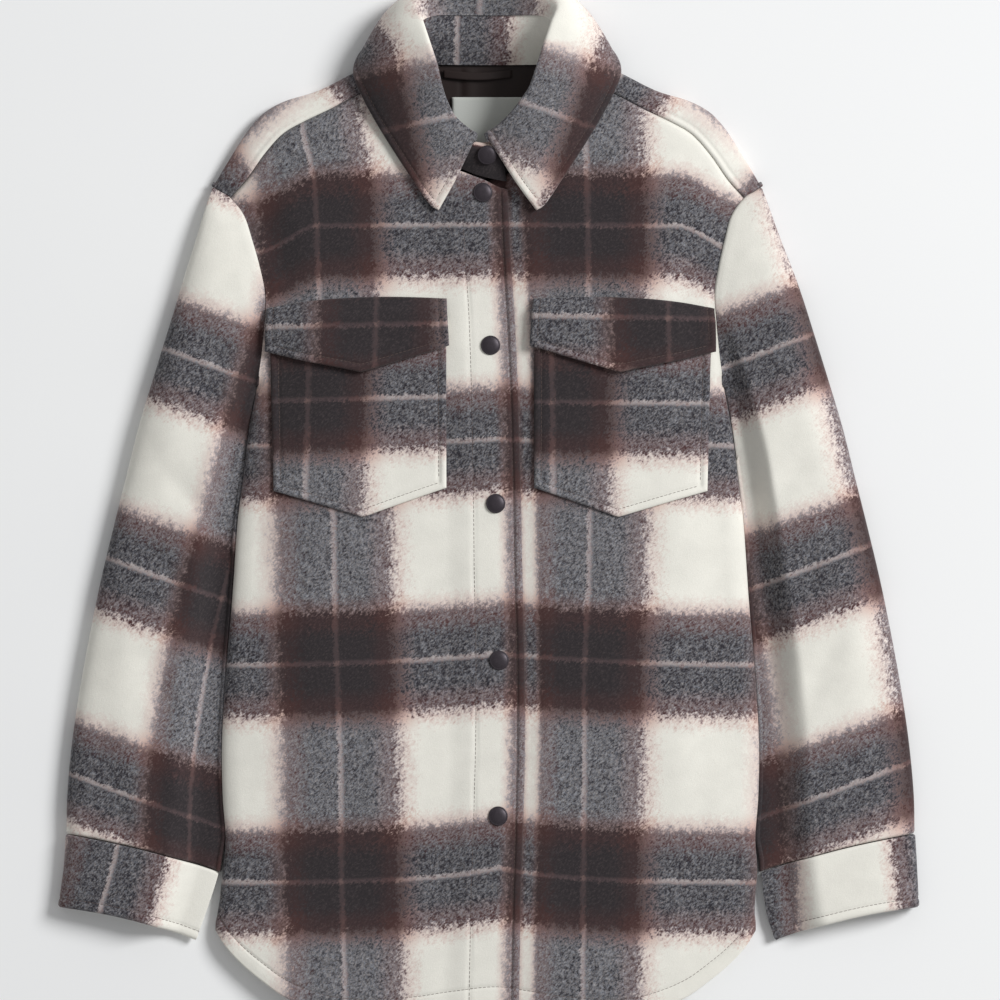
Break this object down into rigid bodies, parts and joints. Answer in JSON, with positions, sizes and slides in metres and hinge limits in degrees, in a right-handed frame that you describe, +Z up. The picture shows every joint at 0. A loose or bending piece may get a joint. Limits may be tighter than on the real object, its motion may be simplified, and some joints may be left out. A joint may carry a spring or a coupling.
{
  "type": "shacket",
  "caption": "Checked wool shirt jacket laid flat, buttoned, with a folded collar, chest flap pockets, cuffed sleeves and a curved hem",
  "frame": {"origin": "Centre of the flat underside, on the surface that the garment lies on.", "axes": "+X towards the wearer's left, +Y towards the collar, +Z up from the surface, out of the front."},
  "size_m": [0.7071, 0.8453, 0.0499],
  "materials": {
    "wool_check": "brushed wool in a cream, charcoal and rust check",
    "satin_lining": "dark brown satin",
    "woven_label": "blank pale satin",
    "snap_metal": "dark plum grey, satin"
  },
  "bodies": {
    "root": {"back": "wool_check", "yoke": "wool_check", "front_left": "wool_check", "front_right": "wool_check", "sleeve_left": "wool_check", "sleeve_right": "wool_check", "cuff_left": "wool_check", "cuff_right": "wool_check", "pocket_left": "wool_check", "pocket_right": "wool_check", "flap_left": "wool_check", "flap_right": "wool_check", "collar_stand": "wool_check", "collar_leaf": "wool_check", "neck_lining": "satin_lining", "hang_loop": "satin_lining", "neck_label": "woven_label", "snap_1": "snap_metal", "snap_2": "snap_metal", "snap_3": "snap_metal", "snap_4": "snap_metal", "snap_5": "snap_metal", "snap_6": "snap_metal"}
  },
  "joints": []
}
